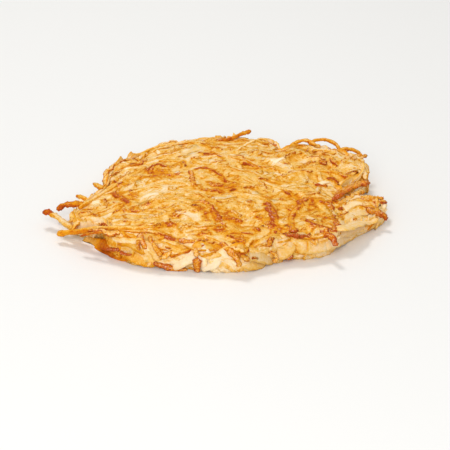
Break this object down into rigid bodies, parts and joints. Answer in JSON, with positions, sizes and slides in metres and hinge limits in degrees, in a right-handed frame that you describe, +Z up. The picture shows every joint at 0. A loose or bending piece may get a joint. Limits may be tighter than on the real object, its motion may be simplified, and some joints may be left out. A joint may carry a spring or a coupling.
{
  "type": "hash browns",
  "caption": "Griddled patty of fused potato shreds with a browned upper crust, a ragged edge, loose curls at the rim and a flat underside.",
  "frame": {"origin": "on the flat underside, under the middle of the patty's body", "axes": "+Z up through the browned crust, +X to the right along the patty's longest way, -Y towards the front"},
  "size_m": [0.209, 0.171, 0.0241],
  "materials": {
    "griddled_potato": "browned potato with a thin film of oil"
  },
  "bodies": {
    "root": {"hash_browns": "griddled_potato"}
  },
  "joints": []
}
